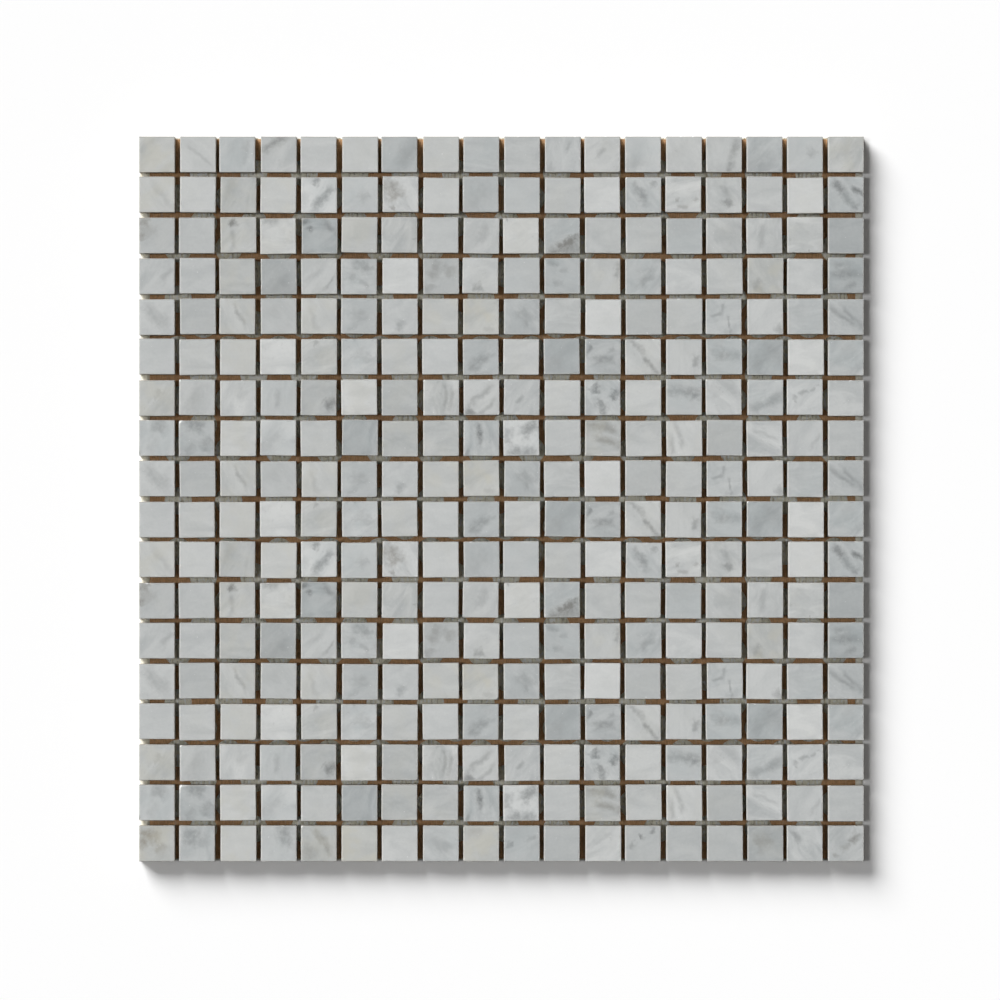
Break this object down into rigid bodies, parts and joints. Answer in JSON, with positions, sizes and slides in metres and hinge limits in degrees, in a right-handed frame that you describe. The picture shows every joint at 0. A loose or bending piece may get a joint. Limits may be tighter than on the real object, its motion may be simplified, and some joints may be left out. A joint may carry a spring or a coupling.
{
  "type": "mosaic tile sheet",
  "caption": "Square mosaic tile sheet: small square marble chips, white with grey veins, set with open joints on a web of perforated brown kraft paper.",
  "frame": {"origin": "centre of the sheet's outline, on the underside of the paper web", "axes": "+X along the rows, +Y towards the first row, +Z out of the polished faces"},
  "size_m": [0.304, 0.304, 0.0082],
  "materials": {
    "marble": "honed, cool grey-white marble with cloudy tone and thin grey veins; sawn sides and backs",
    "kraft_paper": "matt brown kraft paper with a thin clear coat of glue"
  },
  "bodies": {
    "root": {"tile_row_01": "marble", "tile_row_02": "marble", "tile_row_03": "marble", "tile_row_04": "marble", "tile_row_05": "marble", "tile_row_06": "marble", "tile_row_07": "marble", "tile_row_08": "marble", "tile_row_09": "marble", "tile_row_10": "marble", "tile_row_11": "marble", "tile_row_12": "marble", "tile_row_13": "marble", "tile_row_14": "marble", "tile_row_15": "marble", "tile_row_16": "marble", "tile_row_17": "marble", "tile_row_18": "marble", "backing_paper": "kraft_paper"}
  },
  "joints": []
}
